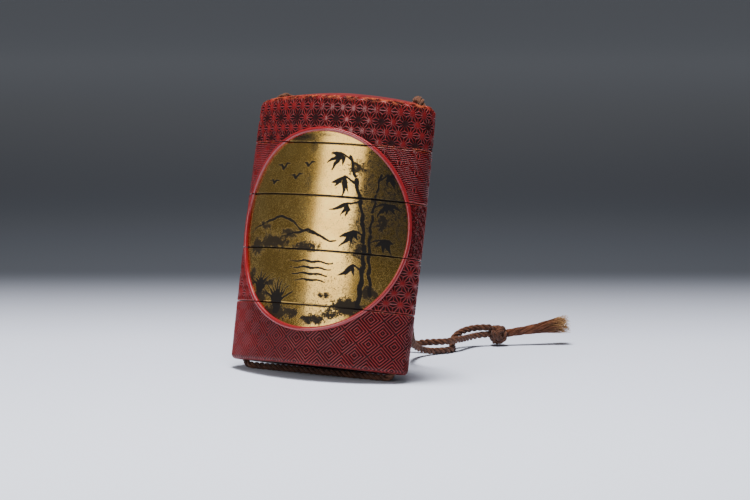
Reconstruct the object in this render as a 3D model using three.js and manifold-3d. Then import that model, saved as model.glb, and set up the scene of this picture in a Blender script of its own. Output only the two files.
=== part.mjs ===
// Inro case: a small carved lacquer box of five nesting sections, worn on a cord and shown standing,
// leaning back on the cord that runs under its base. Millimetres, +Z up, the picture faces -Y.

import * as THREE from 'three';
import { mergeVertices } from 'three/addons/utils/BufferGeometryUtils.js';
import Module from 'manifold-3d';

const wasm = await Module();
wasm.setup();

// The case, in its own upright frame: X across, Y through, Z from the base up.
const halfWidth = 31.7;
const halfDepth = 12.3;
const endRadius = 4.8; // the narrow rounded ends of the plan
const waist = 42.3; // the widest height
const belly = 0.3; // how far the base stands in from the waist
const taper = 0.7; // how far the lid stands in from it
const shoulderHeight = 82.9;
const crownHeight = 85.9;
const crestRise = 1.2; // how far the lid's top edge rises from its ends to its middle
const crestRoot = 76; // where that rise begins
const shoulderRadius = 2.8;
const baseRadius = 1.5;
const footWidth = 0.35; // the flat foot round the underside, as a share of the way to the middle
const dishDepth = 0.3; // how far the underside is hollowed inside the foot
const joints = [18.3, 35.3, 52.25, 68.65]; // heights of the four seams
const seamGap = 0.3;

// The hollow inside, and the collar by which each section enters the one above.
const cavityHalfWidth = 23.6;
const cavityHalfDepth = 9.7;
const cavityEndRadius = 3;
const collarWall = 0.85;
const collarHeight = 4;
const collarPlay = 0.3;
const floorThickness = 1.7;
const bottomThickness = 2;
const lidThickness = 2.2;

// The round picture window across all five sections.
const windowRadius = 30.4;
const windowHeight = 41.9;
const windowRecess = 0.5;
const rimWidth = 1.4;
const rimHeight = 0.5;
const rimRoot = 0.9; // how deep the rim's foot goes into the wall

// Carved grounds.
const carvingDepth = 0.35;

// The silk cord.
const cordRadius = 1.05;
const cordSides = 8;
const cordGap = 0.3;
const channelX = halfWidth - endRadius;
const channelRadius = 1.5;
const channelSides = 10;
const mouthHeight = 83.2; // where each channel opens through the lid
const strandStart = mouthHeight - 2.5; // where the free strands begin inside the mouths
const heldSteps = 60;
const strandSteps = 42;
const bendRadius = 2.6; // of the cord as it turns under the base
const knotRadius = 3.6;
const knotFurrow = 0.04; // how deep the furrows between its turns are, as a share of its radius
const knotCentre = new THREE.Vector3(21.6, 70.3, 3.7);
const tasselEnd = new THREE.Vector3(40.6, 86.2, 6.9);

const lacquer = new THREE.MeshStandardMaterial({ color: 0x7a1c16, roughness: 0.35, metalness: 0 });
const silk = new THREE.MeshStandardMaterial({ color: 0x7d4f33, roughness: 0.8, metalness: 0 });
const frayedSilk = new THREE.MeshStandardMaterial({ color: 0x9a6238, roughness: 0.85, metalness: 0 });

// Plan outlines -------------------------------------------------------------

// A pointed oval of four arcs. place(s, out) is the point at s along it from the front's middle,
// moved outwards by out.
function oval(width, depth, end) {
  const sideRadius = ((width - end) ** 2 + depth ** 2 - end ** 2) / (2 * (depth - end));
  const sideAngle = Math.asin((width - end) / (sideRadius - end));
  const sideLength = sideRadius * sideAngle;
  const quarter = sideLength + end * (Math.PI / 2 - sideAngle);
  const perimeter = 4 * quarter;
  function place(s, out = 0) {
    const turn = s - perimeter * Math.round(s / perimeter);
    const reach = Math.abs(turn);
    const back = reach > quarter ? -1 : 1;
    const along = back > 0 ? reach : 2 * quarter - reach;
    const onSide = along < sideLength;
    const angle = onSide ? along / sideRadius : sideAngle + (along - sideLength) / end;
    const radius = (onSide ? sideRadius : end) + out;
    const x = (onSide ? 0 : width - end) + radius * Math.sin(angle);
    const y = (onSide ? sideRadius - depth : 0) - radius * Math.cos(angle);
    return new THREE.Vector2(Math.sign(turn) * x, back * y);
  }
  return { perimeter, place };
}

const plan = oval(halfWidth, halfDepth, endRadius);
const cavity = oval(cavityHalfWidth, cavityHalfDepth, cavityEndRadius);

// How far the wall at height z stands in from the waist.
function swell(z) {
  return -(z > waist ? taper : belly) * ((z - waist) / waist) ** 2;
}

// A point of the outer wall: s around from the front's middle, z up, out from the surface.
function onWall(s, z, out) {
  const { x, y } = plan.place(s, out + swell(z));
  return new THREE.Vector3(x, y, z);
}

// Solids --------------------------------------------------------------------

function solidOf(geometry) {
  const bare = geometry.clone();
  bare.deleteAttribute('normal');
  bare.deleteAttribute('uv');
  const welded = mergeVertices(bare, 1e-4);
  return new wasm.Manifold(new wasm.Mesh({
    numProp: 3,
    vertProperties: new Float32Array(welded.attributes.position.array),
    triVerts: new Uint32Array(welded.index.array),
  }));
}

// The largest body of a solid, without the crumbs that a cut can leave.
function geometryOf(solid) {
  const whole = solid.decompose().reduce((a, b) => (b.volume() > a.volume() ? b : a));
  const { vertProperties, triVerts } = whole.getMesh();
  const geometry = new THREE.BufferGeometry();
  geometry.setAttribute('position', new THREE.BufferAttribute(new Float32Array(vertProperties), 3));
  geometry.setIndex(new THREE.BufferAttribute(new Uint32Array(triVerts), 1));
  geometry.computeVertexNormals();
  return geometry;
}

function closedGeometry(points, triangles) {
  const geometry = new THREE.BufferGeometry().setFromPoints(points);
  geometry.setIndex(triangles);
  return geometry;
}

// A closed body through rings of equal count, low to high, its two ends fanned to their middles.
// rising(i, j) says which way each square between rings j and j + 1 is split.
function loft(rings, rising = () => true, topHeight = rings.at(-1)[0].z) {
  const count = rings[0].length;
  const points = rings.flat();
  const triangles = [];
  const at = (i, j) => j * count + (i % count);
  for (let j = 0; j + 1 < rings.length; j += 1) {
    for (let i = 0; i < count; i += 1) {
      const [a, b, c, d] = [at(i, j), at(i + 1, j), at(i, j + 1), at(i + 1, j + 1)];
      triangles.push(...(rising(i, j) ? [a, b, d, a, d, c] : [a, b, c, b, d, c]));
    }
  }
  const bottom = points.push(new THREE.Vector3(0, 0, rings[0][0].z)) - 1;
  const top = points.push(new THREE.Vector3(0, 0, topHeight)) - 1;
  for (let i = 0; i < count; i += 1) {
    triangles.push(bottom, at(i + 1, 0), at(i, 0));
    triangles.push(top, at(i, rings.length - 1), at(i + 1, rings.length - 1));
  }
  return solidOf(closedGeometry(points, triangles));
}

function range(count, make) {
  return Array.from({ length: count }, (_, i) => make(i));
}

// A straight-sided body on an outline grown by out.
function prism(outline, out, low, high, columns = 30) {
  const ring = (z) => range(columns, (i) => {
    const { x, y } = outline.place((i * outline.perimeter) / columns, out);
    return new THREE.Vector3(x, y, z);
  });
  return loft([ring(low), ring(high)]);
}

// Carved grounds ------------------------------------------------------------

// Each ground is a grid of columns round the case and rows up the section. depth(i, j), from 0 to 1,
// is how deep the carving is at a crossing; a staggered grid moves every other row by half a column.
const hempLeaf = {
  columns: 54,
  rows: 6,
  staggered: true,
  // Stars of six rays three columns apart, sunk at their hearts.
  depth: (i, j) => (j % 3 === 0 && (i - (j % 2 ? 1 : 0) + 3) % 3 === 0 ? 1 : (i + j) % 3 === 1 ? 0.45 : 0),
};
const flowerLines = {
  columns: 52,
  rows: 4,
  staggered: true,
  // Small flowers left standing on a lowered, lined ground.
  depth: (i, j) => (j % 2 === 1 && i % 2 === 0 ? 0 : 0.7),
};
const petalLattice = {
  columns: 60,
  rows: 6,
  staggered: false,
  depth: (i, j) => (i + j) % 2,
};
const smallHempLeaf = {
  columns: 60,
  rows: 6,
  staggered: true,
  depth: (i, j) => (j % 2 === 0 && i % 2 === 0 ? 1 : 0),
};
const lozenges = {
  columns: 72,
  rows: 4,
  staggered: false,
  // Diamonds four columns wide and two rows high, rising to their middles.
  depth: (i, j) => {
    const across = Math.abs(((i + 2) % 4) - 2) / 2;
    return j % 2 ? 1 - across : across;
  },
};

// The rings of one carved ground between two heights.
function carvedRings(ground, low, high) {
  const step = plan.perimeter / ground.columns;
  return range(ground.rows + 1, (j) => range(ground.columns, (i) => {
    const shift = ground.staggered && j % 2 ? 0.5 : 0;
    const z = low + ((high - low) * j) / ground.rows;
    return onWall((i + shift) * step, z, -carvingDepth * ground.depth(i, j));
  }));
}

// Which diagonal keeps a ground's ridges and valleys whole.
function splitOf(ground) {
  if (ground.staggered) {
    return (i, j) => j % 2 === 1;
  }
  const { depth } = ground;
  return (i, j) => depth(i, j) + depth(i + 1, j + 1) >= depth(i + 1, j) + depth(i, j + 1);
}

function plainRing(columns, z, out, shrink = 1) {
  return range(columns, (i) => {
    const point = onWall((i * plan.perimeter) / columns, z, out);
    return new THREE.Vector3(point.x * shrink, point.y * shrink, z);
  });
}

const baseSteps = 3;
const shoulderSteps = 3;

// The shallow hollow under the base, its flat foot and the rounded edge up to the carving.
function baseRings(columns) {
  const dish = plainRing(columns, dishDepth, -baseRadius, 1 - footWidth - dishDepth / halfDepth);
  const foot = plainRing(columns, 0, -baseRadius, 1 - footWidth);
  const edge = range(baseSteps, (k) => {
    const turn = (k * Math.PI) / (2 * baseSteps);
    const z = baseRadius * (1 - Math.cos(turn));
    return plainRing(columns, z, -baseRadius * (1 - Math.sin(turn)));
  });
  return [dish, foot, ...edge];
}

// The lid's rounded shoulder, then its low dome.
function crownRings(columns) {
  const shoulder = range(shoulderSteps, (k) => {
    const turn = ((k + 1) * Math.PI) / (2 * shoulderSteps);
    const z = shoulderHeight - shoulderRadius * (1 - Math.sin(turn));
    return plainRing(columns, z, -shoulderRadius * (1 - Math.cos(turn)));
  });
  const dome = [0.75, 0.4].map((shrink) => {
    const z = shoulderHeight + (crownHeight - crestRise - shoulderHeight) * (1 - shrink ** 2);
    return plainRing(columns, z, -shoulderRadius, shrink);
  });
  return [...shoulder, ...dome];
}

// The picture window --------------------------------------------------------

const circleSteps = 44;

// Everything in front of the window's circle, to the case's mid-plane.
function windowPrism(radius) {
  const edge = range(circleSteps, (k) => {
    const turn = (2 * Math.PI * k) / circleSteps;
    const z = windowHeight + radius * Math.sin(turn);
    return new THREE.Vector2(onWall(radius * Math.cos(turn), z, 0).x, z);
  });
  const geometry = new THREE.ExtrudeGeometry(new THREE.Shape(edge), {
    depth: 2 * halfDepth,
    bevelEnabled: false,
  });
  return solidOf(geometry.rotateX(Math.PI / 2));
}

// The smooth raised ring round the window, bent to the wall.
function windowRim() {
  const half = rimWidth / 2;
  const section = [
    [-half, -rimRoot],
    [-half, 0.1],
    [-half / 2, rimHeight],
    [half / 2, rimHeight],
    [half, 0.1],
    [half, -rimRoot],
  ];
  const points = [];
  const triangles = [];
  for (let k = 0; k < circleSteps; k += 1) {
    const turn = (2 * Math.PI * k) / circleSteps;
    section.forEach(([across, out]) => {
      const radius = windowRadius + half + across;
      const z = windowHeight + radius * Math.sin(turn);
      points.push(onWall(radius * Math.cos(turn), z, out));
    });
    section.forEach((_, n) => {
      const next = (n + 1) % section.length;
      const [a, b] = [k, (k + 1) % circleSteps].map((ring) => ring * section.length);
      triangles.push(a + n, b + next, b + n, a + n, a + next, b + next);
    });
  }
  return solidOf(closedGeometry(points, triangles));
}

// The smooth ground of the picture, a little inside the wall, to the full height of the window.
function windowGround() {
  const bottom = windowHeight - windowRadius - 1;
  const top = windowHeight + windowRadius + 1;
  const rings = 5;
  const step = (top - bottom) / (rings - 1);
  return loft(range(rings, (j) => plainRing(44, bottom + step * j, -windowRecess)));
}

// What is cleared away in front of the picture.
const windowOpening = windowPrism(windowRadius).subtract(windowGround());
const rim = windowRim();

// Cord channels -------------------------------------------------------------

// A hole down through one end of the case, opening out at the base and at the lid.
function channel(side) {
  const profile = [
    [0, -1],
    [3.9, -1],
    [channelRadius, 3],
    [channelRadius, strandStart],
    [3.3, mouthHeight + 1.6],
    [0, mouthHeight + 1.6],
  ];
  const points = profile.map(([radius, z]) => new THREE.Vector2(radius, z));
  const geometry = new THREE.LatheGeometry(points, channelSides).rotateX(Math.PI / 2);
  return solidOf(geometry.translate(side * channelX, 0, 0));
}

const channels = channel(-1).add(channel(1));

// Sections ------------------------------------------------------------------

function slab(low, high) {
  const size = 4 * halfWidth;
  const box = new THREE.BoxGeometry(size, size, high - low);
  return solidOf(box.translate(0, 0, (low + high) / 2));
}

// The carved outside of a section with its part of the window, still solid.
function sectionBlock(low, high, rings, split, topHeight) {
  return loft(rings, split, topHeight).subtract(windowOpening).add(rim.intersect(slab(low, high)));
}

// The collar standing on a section's rim, round its open mouth.
function collar(high) {
  return prism(cavity, collarWall, high - 1, high + collarHeight);
}

// The socket under a section, into which the collar below goes.
function socket(low) {
  return prism(cavity, collarWall + collarPlay, low - 1, low + collarHeight + collarPlay);
}

function hollow(floor, high) {
  return prism(cavity, 0, floor, high);
}

function bottomCase(high) {
  const base = baseRings(lozenges.columns);
  const rings = [...base, ...carvedRings(lozenges, baseRadius, high)];
  const split = splitOf(lozenges);
  const rising = (i, j) => j < base.length || split(i, j - base.length);
  return sectionBlock(baseRadius, high, rings, rising)
    .add(collar(high))
    .subtract(hollow(bottomThickness, high + collarHeight + 1))
    .subtract(channels);
}

function middleCase(low, high, ground) {
  return sectionBlock(low, high, carvedRings(ground, low, high), splitOf(ground))
    .add(collar(high))
    .subtract(socket(low))
    .subtract(hollow(low + collarHeight + collarPlay + floorThickness, high + collarHeight + 1))
    .subtract(channels);
}

// The lid's top edge, bowed upwards in the middle of the case.
function crested(point) {
  const height = Math.min(Math.max((point.z - crestRoot) / (shoulderHeight - crestRoot), 0), 1);
  point.z += crestRise * height * (1 - (point.x / halfWidth) ** 2);
  return point;
}

function lidCase(low, ground) {
  const shoulder = shoulderHeight - shoulderRadius;
  const flat = [...carvedRings(ground, low, shoulder), ...crownRings(ground.columns)];
  const rings = flat.map((ring) => ring.map(crested));
  return sectionBlock(low, crownHeight, rings, splitOf(ground), crownHeight)
    .subtract(socket(low))
    .subtract(hollow(low, shoulderHeight - lidThickness))
    .subtract(channels);
}

function named(name, geometry, material) {
  const mesh = new THREE.Mesh(geometry, material);
  mesh.name = name;
  return mesh;
}

const seamTops = joints.map((z) => z + seamGap / 2);
const seamBottoms = joints.map((z) => z - seamGap / 2);
const bottom = bottomCase(seamBottoms[0]);
const lower = middleCase(seamTops[0], seamBottoms[1], smallHempLeaf);
const middle = middleCase(seamTops[1], seamBottoms[2], petalLattice);
const upper = middleCase(seamTops[2], seamBottoms[3], flowerLines);
const lid = lidCase(seamTops[3], hempLeaf);

const stance = new THREE.Group();
stance.add(named('bottom_case', geometryOf(bottom), lacquer));
stance.add(named('lower_case', geometryOf(lower), lacquer));
stance.add(named('middle_case', geometryOf(middle), lacquer));
stance.add(named('upper_case', geometryOf(upper), lacquer));
stance.add(named('lid', geometryOf(lid), lacquer));

// Cord ----------------------------------------------------------------------

function cordTube(curve, steps) {
  const section = new THREE.Shape(range(cordSides, (k) => {
    const turn = ((k + 0.5) * 2 * Math.PI) / cordSides;
    return new THREE.Vector2(cordRadius * Math.cos(turn), cordRadius * Math.sin(turn));
  }));
  return new THREE.ExtrudeGeometry(section, { steps, extrudePath: curve, bevelEnabled: false });
}

// Down the left channel, under the base and up the right one.
function heldCord() {
  const under = -(cordRadius + cordGap);
  const turnX = channelX - bendRadius;
  const turnZ = under + bendRadius;
  const ease = bendRadius * 0.4477; // makes each bend a quarter circle
  const top = strandStart - cordGap;
  const run = (...ends) => ends.map(([x, z]) => new THREE.Vector3(x, 0, z));
  const path = new THREE.CurvePath();
  path.add(new THREE.LineCurve3(...run([-channelX, top], [-channelX, turnZ])));
  path.add(new THREE.CubicBezierCurve3(
    ...run([-channelX, turnZ], [-channelX, under + ease], [ease - channelX, under], [-turnX, under]),
  ));
  path.add(new THREE.LineCurve3(...run([-turnX, under], [turnX, under])));
  path.add(new THREE.CubicBezierCurve3(
    ...run([turnX, under], [channelX - ease, under], [channelX, under + ease], [channelX, turnZ]),
  ));
  path.add(new THREE.LineCurve3(...run([channelX, turnZ], [channelX, top])));
  return cordTube(path, heldSteps);
}

stance.add(named('held_cord', heldCord(), silk));

// The case leans back until its back lower edge and the cord under it share the floor.
const lift = cordRadius + cordGap;
const edgeReach = halfDepth - belly - baseRadius;
const lean = Math.atan2(baseRadius + lift, edgeReach)
  + Math.asin((cordRadius - baseRadius) / Math.hypot(edgeReach, baseRadius + lift));
stance.rotation.x = -lean;
const extent = new THREE.Box3().setFromObject(stance, true);
const centre = extent.getCenter(new THREE.Vector3());
stance.position.set(-centre.x, -centre.y, -extent.min.z);

// The free strands, in the frame of the floor: up out of each mouth, over the lid's back edge,
// hanging down behind, then along the floor, crossing, to one knot.
const rightRoute = [
  [26.9, 9, 81], [26.45, 9.8, 83], [25.3, 11.05, 84.6], [23.6, 12.6, 85], [21.8, 14.4, 84.7],
  [20.4, 16.2, 83.8], [19.5, 18, 82.3], [19, 19.2, 80], [18.7, 19.3, 77.8], [18.6, 19.8, 72],
  [18.4, 20.1, 62], [18.1, 20.3, 50], [17.6, 20.5, 38], [16.8, 21.1, 27], [15.4, 22.4, 17.5],
  [13.6, 25.4, 10.5], [11.9, 29.7, 6], [10.9, 34.1, 3.6], [11, 38.4, 2.1], [12, 41.9, 1.3],
  [13.5, 44.9, 1.1], [14.9, 47.4, 1.1], [15.2, 49.8, 1.1], [14.4, 52, 1.2], [13.2, 53.9, 1.9],
  [12.4, 55.8, 3], [12.3, 57.9, 4.2], [12.8, 60.3, 5.1], [13.8, 62.8, 5.7], [15.6, 65.4, 6.1],
  [17.3, 66.8, 6.2], [19.3, 68.1, 6.2],
];
const leftRoute = [
  [-26.9, 9, 81.2], [-26.6, 9.7, 82.4], [-26.1, 10.95, 83.75], [-25.35, 12.95, 84.45],
  [-24.5, 15.05, 83.75], [-23.85, 16.8, 82], [-23.65, 17.35, 79.7], [-23.45, 17.5, 76],
  [-23.2, 17.7, 70], [-22.9, 18, 60], [-22.4, 18.3, 48], [-21.5, 18.8, 37], [-20.2, 20.2, 27],
  [-18.2, 22.6, 17], [-15.5, 26.2, 9.5], [-12.2, 30.9, 4.6], [-8.4, 35.6, 2], [-4.4, 39.6, 1.1],
  [-0.6, 42.2, 1.5], [3.2, 43.5, 2.4], [7, 44, 3.3], [10, 44.6, 3.7], [12.6, 46, 3.8],
  [14.4, 48.3, 3.8], [15.4, 51, 3.8], [15.7, 53.8, 3.75], [15.6, 56.8, 3.6], [15.6, 59.8, 3.5],
  [16, 62.7, 3.6], [17, 65.3, 3.8], [18.8, 67.6, 3.9],
];

function strand(route) {
  const points = route.map((place) => new THREE.Vector3(...place));
  return cordTube(new THREE.CatmullRomCurve3(points, false, 'centripetal'), strandSteps);
}

// The knot that ties both strands, its turns swelling it in three rounds.
function knot() {
  const geometry = new THREE.SphereGeometry(knotRadius, 15, 10);
  const place = geometry.attributes.position;
  for (let i = 0; i < place.count; i += 1) {
    const point = new THREE.Vector3().fromBufferAttribute(place, i);
    const round = Math.atan2(point.z, point.x);
    const fullness = 1 - knotFurrow * (1 - Math.cos(3 * round + (2 * point.y) / knotRadius));
    const atPole = Math.abs(point.y) > knotRadius * 0.99;
    place.setXYZ(i, ...point.multiplyScalar(atPole ? 1 : fullness));
  }
  return geometry.translate(...knotCentre);
}

// The cord's untwisted ends beyond the knot, rising a little and fraying wider to their tips.
function tassel() {
  const reach = knotCentre.distanceTo(tasselEnd);
  const start = knotRadius + cordGap;
  const profile = [
    [0, start],
    [1.5, start],
    [1.8, 8],
    [1.8, 14],
    [2.2, 18],
    [3.1, 22.5],
    [3.3, 24.5],
    [2, reach],
    [0, reach],
  ];
  const points = profile.map(([radius, along]) => new THREE.Vector2(radius, along));
  const geometry = new THREE.LatheGeometry(points, 12);
  const direction = tasselEnd.clone().sub(knotCentre).normalize();
  geometry.applyQuaternion(new THREE.Quaternion().setFromUnitVectors(new THREE.Vector3(0, 1, 0), direction));
  return geometry.translate(...knotCentre);
}

const inro = new THREE.Group();
inro.add(stance);
inro.add(named('right_strand', strand(rightRoute), silk));
inro.add(named('left_strand', strand(leftRoute), silk));
inro.add(named('cord_knot', knot(), silk));
inro.add(named('tassel', tassel(), frayedSilk));

export default inro;
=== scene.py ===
import math
import bpy
import numpy as np
from mathutils import Matrix, Vector


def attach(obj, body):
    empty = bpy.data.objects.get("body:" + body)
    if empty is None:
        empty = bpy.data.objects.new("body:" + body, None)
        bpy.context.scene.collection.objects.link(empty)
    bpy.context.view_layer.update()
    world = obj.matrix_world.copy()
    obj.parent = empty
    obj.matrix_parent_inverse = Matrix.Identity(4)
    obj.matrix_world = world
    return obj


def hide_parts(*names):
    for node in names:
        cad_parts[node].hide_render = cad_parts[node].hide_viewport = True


# An inro case: five stacked lacquer sections with a different carved ground on each, a round gold
# picture window with a polished rim, and a twisted silk cord with a knot and a frayed end.
# Everything below is made in millimetres and turned into metres where the meshes are built.

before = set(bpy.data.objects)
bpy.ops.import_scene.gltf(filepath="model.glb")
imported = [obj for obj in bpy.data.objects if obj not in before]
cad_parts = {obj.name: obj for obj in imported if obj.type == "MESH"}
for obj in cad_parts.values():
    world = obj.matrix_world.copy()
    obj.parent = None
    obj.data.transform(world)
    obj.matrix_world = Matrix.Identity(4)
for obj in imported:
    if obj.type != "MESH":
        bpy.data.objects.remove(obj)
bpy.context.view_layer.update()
MM = 0.001
rng = np.random.default_rng(7)

# The case's sizes, the same as its solids'.
half_width = 31.7
half_depth = 12.3
end_radius = 4.8
waist_height = 42.3
belly = 0.3
taper = 0.7
shoulder_height = 82.9
crown_height = 85.9
crest_rise = 1.2
crest_root = 76.0
shoulder_radius = 2.8
base_radius = 1.5
foot_share = 0.35
dish_depth = 0.3
joints = [18.3, 35.3, 52.25, 68.65]
# Each pattern's row height, and a height and a place round the case where one of its figures is centred.
lid_row, lid_middle, lid_start = 6.35, 76.3, 3.373
upper_row, upper_middle, upper_start = 5.2, 66.8, 31.1
middle_row, middle_middle, middle_start = 4.2, 45.9, 33.2
lower_row, lower_middle, lower_start = 3.25, 21.0, 30.585
base_row, base_middle, base_start = 7.54, 8.1, 6.367
seam_gap = 0.3
cavity_half_width = 23.6
cavity_half_depth = 9.7
cavity_end_radius = 3.0
collar_wall = 0.85
collar_height = 4.0
collar_play = 0.3
floor_thickness = 1.7
bottom_thickness = 2.0
lid_thickness = 2.2
window_radius = 30.4
window_height = 41.9
window_recess = 0.5
rim_width = 1.4
rim_height = 0.5
carving_depth = 0.35
cord_radius = 1.05
cord_gap = 0.3
channel_x = half_width - end_radius
channel_radius = 1.5
channel_sides = 28
mouth_height = 83.2
strand_start = mouth_height - 2.5
bend_radius = 2.6

# How the case stands: leaning back about its lower back edge, moved to the middle of its footprint.
lift = cord_radius + cord_gap
edge_reach = half_depth - belly - base_radius
lean = (math.atan2(base_radius + lift, edge_reach)
        + math.asin((cord_radius - base_radius) / math.hypot(edge_reach, base_radius + lift)))
stand_y = -8.9715
stand_z = 2.3514


def stood(points):
    """Points of the upright case, in the frame of the floor it leans on."""
    x, y, z = points[..., 0], points[..., 1], points[..., 2]
    return np.stack([x,
                     y * math.cos(lean) + z * math.sin(lean) + stand_y,
                     z * math.cos(lean) - y * math.sin(lean) + stand_z], axis=-1)


# Camera --------------------------------------------------------------------------------------

def look_from(azimuth, elevation, distance, target, lens):
    """A camera at an azimuth and elevation in degrees round a target, in metres."""
    a, e = math.radians(azimuth), math.radians(elevation)
    back = Vector((math.sin(a) * math.cos(e), -math.cos(a) * math.cos(e), math.sin(e)))
    camera = bpy.data.objects.new("camera", bpy.data.cameras.new("camera"))
    camera.data.lens = lens
    camera.data.sensor_width = 36
    camera.data.clip_start = 0.01
    camera.data.clip_end = 20
    camera.location = Vector(target) + back * distance
    camera.rotation_euler = (-back).to_track_quat("-Z", "Y").to_euler()
    bpy.context.scene.collection.objects.link(camera)
    bpy.context.scene.camera = camera


look_from(30.31, 6.86, 0.8, (0.01537, -0.0001, 0.03895), 124.3)


# Meshes --------------------------------------------------------------------------------------

def mesh_object(name, points, triangles, numbers=None, kinds=None, materials=()):
    """An object from arrays: points in millimetres, triangles, named numbers at the points."""
    mesh = bpy.data.meshes.new(name)
    mesh.vertices.add(len(points))
    mesh.vertices.foreach_set("co", (np.asarray(points) * MM).astype(np.float32).ravel())
    mesh.loops.add(3 * len(triangles))
    mesh.loops.foreach_set("vertex_index", np.asarray(triangles, np.int32).ravel())
    mesh.polygons.add(len(triangles))
    mesh.polygons.foreach_set("loop_start", np.arange(len(triangles), dtype=np.int32) * 3)
    for material in materials:
        mesh.materials.append(material)
    if kinds is not None:
        mesh.polygons.foreach_set("material_index", np.asarray(kinds, np.int32))
    for label, values in (numbers or {}).items():
        layer = mesh.attributes.new(label, "FLOAT", "POINT")
        layer.data.foreach_set("value", np.asarray(values, np.float32).ravel())
    mesh.polygons.foreach_set("use_smooth", np.ones(len(triangles), bool))
    mesh.update(calc_edges=True)
    mesh.validate()
    thing = bpy.data.objects.new(name, mesh)
    bpy.context.scene.collection.objects.link(thing)
    return thing


def grid_triangles(rings, count, closed=True, heights=None):
    """Triangles between rings of points. Each square is split so that its crease stays whole."""
    across = np.arange(count if closed else count - 1)
    after = (across + 1) % count
    low = np.arange(rings - 1)[:, None] * count
    a, b, c, d = low + across, low + after, low + count + across, low + count + after
    first = np.stack([np.stack([a, b, d], -1), np.stack([a, d, c], -1)], -2)
    if heights is not None:
        flat = heights.ravel()
        other = np.stack([np.stack([a, b, c], -1), np.stack([b, d, c], -1)], -2)
        crossed = np.abs(flat[a] - flat[d]) > np.abs(flat[b] - flat[c])
        first = np.where(crossed[..., None, None], other, first)
    return first.reshape(-1, 3)


def closed_triangles(rings, count, heights=None):
    """A tube's triangles, closed at each end onto the two points that follow its rings."""
    first = np.arange(count)
    after = (first + 1) % count
    tip = np.full(count, rings * count)
    last = (rings - 1) * count
    return np.vstack([grid_triangles(rings, count, True, heights),
                      np.stack([tip, after, first], -1),
                      np.stack([tip + 1, last + first, last + after], -1)])


def joined(things):
    """Several objects as one, which keeps the first one's name."""
    with bpy.context.temp_override(active_object=things[0], object=things[0],
                                   selected_objects=things, selected_editable_objects=things):
        bpy.ops.object.join()
    return things[0]


# Materials -----------------------------------------------------------------------------------

class Value:
    """A number or a colour that varies over a surface. Sums with it make the nodes for them."""

    def __init__(self, tree, socket):
        self.tree = tree
        self.socket = socket

    def maths(self, kind, *terms):
        return made(self.tree, "ShaderNodeMath", {"operation": kind}, dict(enumerate(terms)))

    def __add__(self, other):
        return self.maths("ADD", self, other)

    def __sub__(self, other):
        return self.maths("SUBTRACT", self, other)

    def __mul__(self, other):
        return self.maths("MULTIPLY", self, other)

    def __truediv__(self, other):
        return self.maths("DIVIDE", self, other)

    def __rsub__(self, other):
        return self.maths("SUBTRACT", other, self)

    def __rtruediv__(self, other):
        return self.maths("DIVIDE", other, self)

    __radd__ = __add__
    __rmul__ = __mul__

    def larger(self, other):
        return self.maths("MAXIMUM", self, other)

    def smaller(self, other):
        return self.maths("MINIMUM", self, other)

    def between(self, low, high):
        """0 below low, 1 above high, and a smooth rise between them."""
        return made(self.tree, "ShaderNodeMapRange", {"interpolation_type": "SMOOTHSTEP"},
                    {"Value": self, "From Min": low, "From Max": high})


def made(tree, kind, settings, inputs, output=0):
    """A node with its settings and its inputs, each input a number, a colour or a Value."""
    node = tree.nodes.new(kind)
    for label, setting in settings.items():
        setattr(node, label, setting)
    for label, given in inputs.items():
        if isinstance(given, Value):
            tree.links.new(given.socket, node.inputs[label])
        else:
            node.inputs[label].default_value = given
    return Value(tree, node.outputs[output])


class Finish:
    """A material: its constant settings, and the values that vary over it."""

    def __init__(self, name, **constants):
        self.material = bpy.data.materials.new(name)
        self.material.use_nodes = True
        self.tree = self.material.node_tree
        self.shader = self.tree.nodes["Principled BSDF"]
        for label, value in constants.items():
            self.shader.inputs[label.replace("_", " ")].default_value = value

    def node(self, kind, settings, inputs, output=0):
        return made(self.tree, kind, settings, inputs, output)

    def number(self, label):
        """A number kept at the points of the mesh."""
        return self.node("ShaderNodeAttribute", {"attribute_name": label}, {}, "Fac")

    def place(self):
        """Where a point is, in millimetres, from the object's own origin."""
        spot = self.node("ShaderNodeTexCoord", {}, {}, "Object")
        return self.node("ShaderNodeVectorMath", {"operation": "SCALE"}, {"Vector": spot, "Scale": 1000.0})

    def clouds(self, vector, per_mm, detail=3.0, roughness=0.55):
        """Soft noise about 1 / per_mm millimetres across."""
        return self.node("ShaderNodeTexNoise", {"noise_dimensions": "3D"},
                         {"Vector": vector, "Scale": per_mm, "Detail": detail, "Roughness": roughness})

    def blend(self, share, first, second):
        """first where share is 0, second where it is 1."""
        node = self.tree.nodes.new("ShaderNodeMix")
        node.data_type = "RGBA"
        for socket, given in ((node.inputs[0], share), (node.inputs[6], first), (node.inputs[7], second)):
            if isinstance(given, Value):
                self.tree.links.new(given.socket, socket)
            else:
                socket.default_value = given
        return Value(self.tree, node.outputs[2])

    def raised(self, height, distance, strength=1.0):
        """Small relief too fine for the mesh. Height is in parts of distance, in metres."""
        return self.node("ShaderNodeBump", {}, {"Height": height, "Distance": distance, "Strength": strength})

    def put(self, label, value):
        self.tree.links.new(value.socket, self.shader.inputs[label])


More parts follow.
